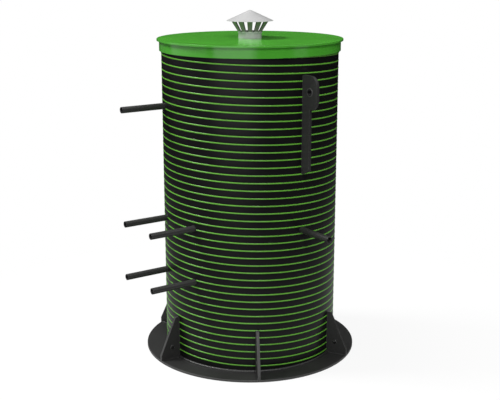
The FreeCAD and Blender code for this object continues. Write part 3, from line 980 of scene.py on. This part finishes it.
# the strips' grey is a darker, mauve-tinted copy of the vent's grey: painted shade under the cap,
# tinted against the lid's green light
strip_grey_painted_shade = plastic("grey strip with painted shade", (0.26, 0.188, 0.255), (0.42, 0.4, 0.42),
                     gloss=0.5, edge=0.1, reflect=0.3, **MOULDED)
strips = shaped(one_strip(), make_ring_tree(), Count=SLAT_COUNT, First_Turn=SLAT_TURN,
                Material=strip_grey_painted_shade)
fitted(strips, strip_grey_painted_shade, "lid", "grey_plastic", "vent_slats")
# the strips' laps take the neck's grey, with its painted light
refinished(strips, lambda face: face.center.z < neck_high.z + LAP_MARGIN, neck_grey_painted_light)

CAP_SHEET = 0.004
CAP_TIP_RADIUS = 0.006
CAP_TIP_DROP = 0.0022  # how far the rounding takes the tip down
CAP_SEGMENTS = 128
cap_low, cap_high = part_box("vent_cap")
cap_rise = cap_high.z - cap_low.z
cap_inner = cap_high.x * (1 - CAP_SHEET / cap_rise)
cap_outline = eased_outline([
    (0.0, cap_high.z - CAP_SHEET, 0.0),
    (cap_inner, cap_low.z, 0.0006),
    (cap_high.x, cap_low.z, 0.0008),
    (CAP_TIP_RADIUS, cap_high.z - CAP_TIP_RADIUS * cap_rise / cap_high.x, 0.004),
    (0.0, cap_high.z - CAP_TIP_DROP, 0.0),
], steps=4)
cap = flat_faces_kept(turned("vent_hood", cap_outline, CAP_SEGMENTS))
fitted(cap, vent_grey, "lid", "grey_plastic", "vent_cap")


# Studio. A pale floor, a white ground behind, two soft lamps, and the camera at the
# photograph's place. A dark board and lit panels stand far out, where only reflections see them.

scene = bpy.context.scene
scene.view_settings.view_transform = "Standard"
WHITE = (1, 1, 1, 1)


def fresh_tree(owner):
    owner.use_nodes = True
    owner.node_tree.nodes.clear()
    return owner.node_tree


# 1 for the camera's rays, and for those that metal and glass send on
def seen_directly(tree):
    rays = add_node(tree, "ShaderNodeLightPath").outputs
    seen = maths(tree, "MAXIMUM", rays["Is Camera Ray"], rays["Is Glossy Ray"])
    return maths(tree, "MAXIMUM", seen, rays["Is Transmission Ray"])


WORLD_LEVEL = 0.48
world = scene.world or bpy.data.worlds.new("studio")
scene.world = world
tree = fresh_tree(world)
soft = add_node(tree, "ShaderNodeBackground", {"Color": WHITE, "Strength": WORLD_LEVEL})
white = add_node(tree, "ShaderNodeBackground", {"Color": WHITE, "Strength": 1.0})
feeds = {0: seen_directly(tree), 1: soft.outputs[0], 2: white.outputs[0]}
both = add_node(tree, "ShaderNodeMixShader", feeds)
add_node(tree, "ShaderNodeOutputWorld", {"Surface": both.outputs[0]})

FLOOR_TONE = (0.3, 0.3, 0.3, 1)
FLOOR_PALE = (0.95, 0.95, 0.95, 1)
FLOOR_GLOW = 0.85  # how much of the near floor is plain white, the rest takes the shadow
SHADOW_REACH = (1.0, 2.6)  # the shadow fades out between these distances from the axis
SHEEN = 0.92
SHEEN_REACH = 2.4


# The floor looks white but for the object's soft shadow, and lights the object only a little.
# Reflections see a sheen round the object that fades into the dark board.
def make_floor_material():
    material = bpy.data.materials.new("pale floor")
    tree = fresh_tree(material)
    place = add_node(tree, "ShaderNodeTexCoord").outputs["Object"]
    far = add_node(tree, "ShaderNodeVectorMath", {0: place}, operation="LENGTH").outputs["Value"]
    rays = add_node(tree, "ShaderNodeLightPath").outputs
    tone = add_node(tree, "ShaderNodeBsdfDiffuse", {"Color": FLOOR_TONE})
    pale = add_node(tree, "ShaderNodeBsdfDiffuse", {"Color": FLOOR_PALE})
    glow = add_node(tree, "ShaderNodeEmission", {"Color": WHITE, "Strength": 1.0})
    share = span(tree, far, *SHADOW_REACH, FLOOR_GLOW, 1.0)
    feeds = {0: share, 1: pale.outputs[0], 2: glow.outputs[0]}
    seen = add_node(tree, "ShaderNodeMixShader", feeds)
    fading = maths(tree, "POWER", math.e, maths(tree, "DIVIDE", far, -SHEEN_REACH))
    feeds = {"Color": WHITE, "Strength": maths(tree, "MULTIPLY", fading, SHEEN)}
    sheen = add_node(tree, "ShaderNodeEmission", feeds)
    feeds = {0: rays["Is Glossy Ray"], 1: tone.outputs[0], 2: sheen.outputs[0]}
    unseen = add_node(tree, "ShaderNodeMixShader", feeds)
    sight = maths(tree, "MAXIMUM", rays["Is Camera Ray"], rays["Is Transmission Ray"])
    feeds = {0: sight, 1: unseen.outputs[0], 2: seen.outputs[0]}
    both = add_node(tree, "ShaderNodeMixShader", feeds)
    add_node(tree, "ShaderNodeOutputMaterial", {"Surface": both.outputs[0]})
    return material


# A piece of the studio from loops of points, one loop above the other
def studio_piece(name, rows, closed, material):
    mesh = bpy.data.meshes.new(name)
    count = len(rows[0])
    points = [tuple(point) for row in rows for point in row]
    last = count if closed else count - 1
    faces = []
    for level in range(len(rows) - 1):
        for n in range(last):
            m = (n + 1) % count
            faces.append((level * count + n, level * count + m,
                          (level + 1) * count + m, (level + 1) * count + n))
    mesh.from_pydata(points, [], faces)
    mesh.materials.append(material)
    piece = bpy.data.objects.new(name, mesh)
    scene.collection.objects.link(piece)
    return piece


FLOOR_RADII = (0.02, 3.0, 80.0)
FLOOR_SEGMENTS = 96
rings = [arc(radius, 0, 0, math.tau, FLOOR_SEGMENTS)[:-1] for radius in FLOOR_RADII]
studio_piece("studio_floor", rings, True, make_floor_material())
VIEW_TURN = math.radians(-34.7)
PANEL_STEPS = 48


# A board or a lit panel round the axis, placed by its bearing from the view's line
def reflected_panel(name, bearing, half_width, radius, bottom, top, strength):
    material = bpy.data.materials.new(name)
    tree = fresh_tree(material)
    light = add_node(tree, "ShaderNodeEmission", {"Color": WHITE, "Strength": strength})
    add_node(tree, "ShaderNodeOutputMaterial", {"Surface": light.outputs[0]})
    middle = VIEW_TURN + math.radians(bearing) - math.pi / 2
    reach = math.radians(half_width)
    rows = [arc(radius, z, middle - reach, middle + reach, PANEL_STEPS) for z in (bottom, top)]
    panel = studio_piece(name, rows, False, material)
    for flag in ("camera", "diffuse", "shadow", "transmission", "volume_scatter"):
        setattr(panel, "visible_" + flag, False)


reflected_panel("dark_board", bearing=0, half_width=180, radius=14.0, bottom=0.0, top=11.5,
                strength=0.012)
reflected_panel("front_panel", bearing=-20.5, half_width=23.5, radius=13.0, bottom=0.0, top=6.0,
                strength=1.8)
# the low panels are there for the lid's skirt: (name, bearing, half width, strength)
for name, bearing, half_width, strength in (
        ("front_strip", 5.3, 2.3, 1.8), ("right_panel", 63, 9.5, 0.95),
        ("side_panel", -63, 11, 1.05), ("left_panel", -92.5, 18.5, 1.3),
        ("far_left_panel", -130, 19, 0.12)):
    reflected_panel(name, bearing, half_width, radius=9.0, bottom=1.15, top=1.7,
                    strength=strength)

CAMERA_PLACE = Vector((-3.747, -5.412, 2.7225))
CAMERA_TILT = math.radians(75.713)
CAMERA_LENS = 69.58
camera = bpy.data.cameras.new("photo view")
camera.sensor_width = 36.0
camera.lens = CAMERA_LENS
viewer = bpy.data.objects.new("photo_view", camera)
viewer.location = CAMERA_PLACE
viewer.rotation_euler = (CAMERA_TILT, 0.0, VIEW_TURN)
scene.collection.objects.link(viewer)
scene.camera = viewer


LAMP_DISTANCE = 16.0
LAMP_AIM = Vector((0, 0, 1.2))


# A square soft lamp, placed by its bearing from the view's line and its height angle
def softbox(name, bearing, climb, width, power):
    lamp = bpy.data.lights.new(name, "AREA")
    lamp.shape = "RECTANGLE"
    lamp.size = width
    lamp.size_y = width
    lamp.energy = power
    bearing = VIEW_TURN + math.radians(bearing)
    climb = math.radians(climb)
    way = Vector((math.sin(bearing) * math.cos(climb), -math.cos(bearing) * math.cos(climb),
                  math.sin(climb)))
    item = bpy.data.objects.new(name, lamp)
    item.location = LAMP_AIM + way * LAMP_DISTANCE
    item.rotation_euler = (-way).to_track_quat("-Z", "Y").to_euler()
    scene.collection.objects.link(item)


softbox("left_lamp", bearing=-95, climb=50, width=4.4, power=2240.0)
softbox("front_lamp", bearing=12, climb=42, width=5.2, power=1120.0)
